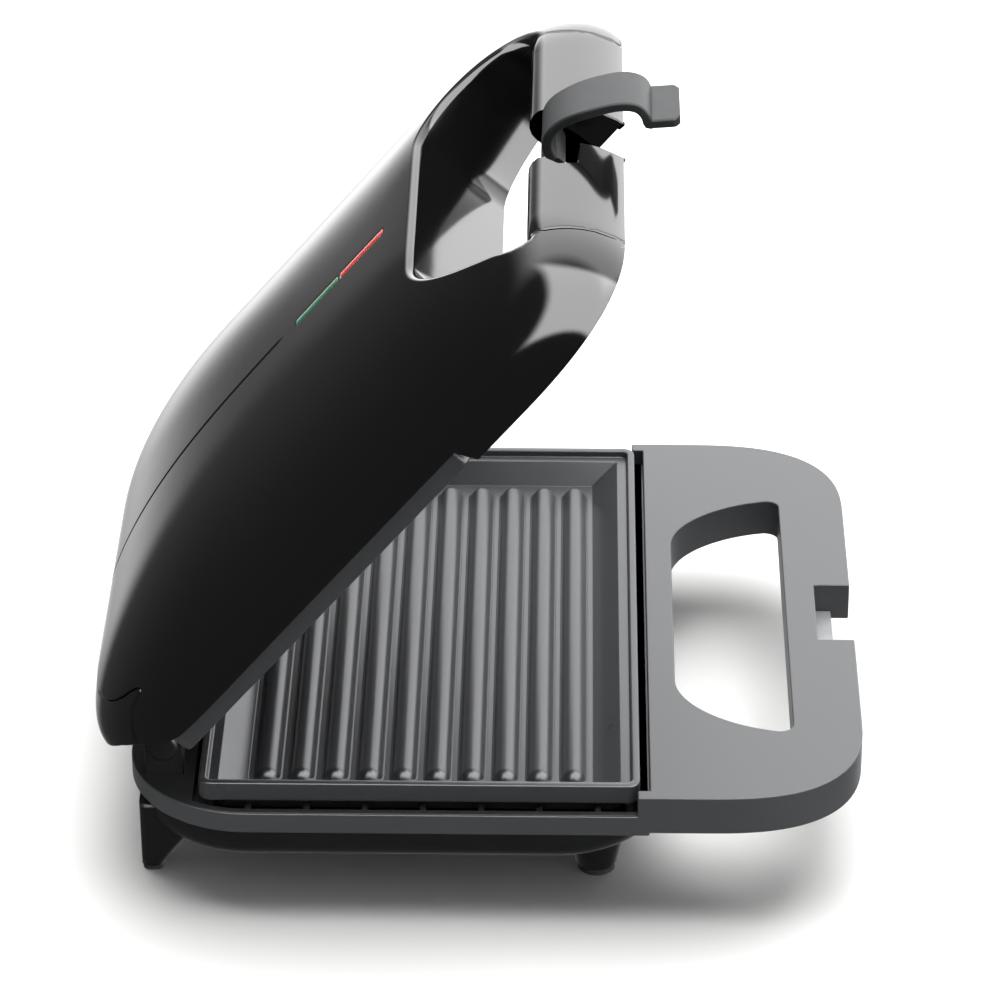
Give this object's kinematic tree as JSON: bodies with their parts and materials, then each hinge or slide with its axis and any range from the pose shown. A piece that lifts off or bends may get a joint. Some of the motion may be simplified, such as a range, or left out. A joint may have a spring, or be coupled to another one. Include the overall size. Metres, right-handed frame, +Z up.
{
  "type": "panini press",
  "caption": "Folding panini press: ribbed grill plates, domed lid on a rear hinge, D-shaped carrying handle, swinging front latch and two indicator windows.",
  "frame": {"origin": "under the middle of the open press, on the plane the feet stand on", "axes": "+Z up; +X along the hinge axis, to the right when seen from the handle; the handle points to -Y and the hinge is at +Y"},
  "size_m": [0.222, 0.2424, 0.2343],
  "materials": {
    "base_abs": "satin moulded ABS, dark grey",
    "tub_abs": "moulded ABS, near black",
    "strike_abs": "satin moulded plastic, mid grey",
    "pad_rubber": "moulded rubber, black",
    "nonstick_plate": "die-cast aluminium with a dark non-stick coat",
    "element_steel": "annealed steel tube",
    "zinc_steel": "zinc-plated steel",
    "tray_aluminium": "bright rolled aluminium",
    "ceramic": "glazed ceramic and phenolic",
    "fuse_case": "plated fuse case",
    "lead_silicone": "silicone insulation",
    "lid_gloss": "high-gloss black moulded plastic",
    "lid_satin": "fine-textured black moulded plastic",
    "green_lens": "translucent green polycarbonate",
    "red_lens": "translucent red polycarbonate",
    "lamp_glass": "neon lamp glass",
    "latch_nylon": "glass-filled nylon, dark grey, fine matt texture"
  },
  "bodies": {
    "base": {"base_frame": "base_abs", "base_cover": "tub_abs", "handle_cover": "base_abs", "latch_strike": "strike_abs", "left_rear_foot": "tub_abs", "right_rear_foot": "tub_abs", "left_front_foot": "tub_abs", "right_front_foot": "tub_abs", "foot_pads": "pad_rubber", "lower_plate": "nonstick_plate", "lower_element": "element_steel", "lower_clips": "zinc_steel", "lower_reflector": "tray_aluminium", "thermostat": "ceramic", "thermal_fuse": "fuse_case", "terminal_block": "ceramic", "cord_bush": "pad_rubber", "base_leads": "lead_silicone", "lower_plate_screws": "zinc_steel", "left_hinge_pin": "zinc_steel", "right_hinge_pin": "zinc_steel"},
    "lid": {"lid_shell": "lid_gloss", "lid_hinge_cover": "lid_gloss", "lid_grip": "lid_gloss", "grip_cover": "lid_satin", "lid_frame": "lid_satin", "left_hinge_arm": "lid_satin", "right_hinge_arm": "lid_satin", "upper_plate": "nonstick_plate", "upper_element": "element_steel", "upper_clips": "zinc_steel", "upper_reflector": "tray_aluminium", "upper_plate_screws": "zinc_steel", "green_window": "green_lens", "red_window": "red_lens", "indicator_lamps": "lamp_glass", "lamp_holder": "ceramic", "lid_leads": "lead_silicone", "latch_pin": "zinc_steel"},
    "latch": {"latch": "latch_nylon"}
  },
  "joints": [
    {"name": "lid_hinge", "type": "hinge", "parent": "base", "child": "lid", "pos_m": [0, 0.097, 0.0506], "axis": [-1, 0, 0], "range_deg": [-50, 35]},
    {"name": "latch_pivot", "type": "hinge", "parent": "lid", "child": "latch", "pos_m": [0, -0.0227, 0.21255], "axis": [-1, 0, 0], "range_deg": [-52, 12]}
  ]
}
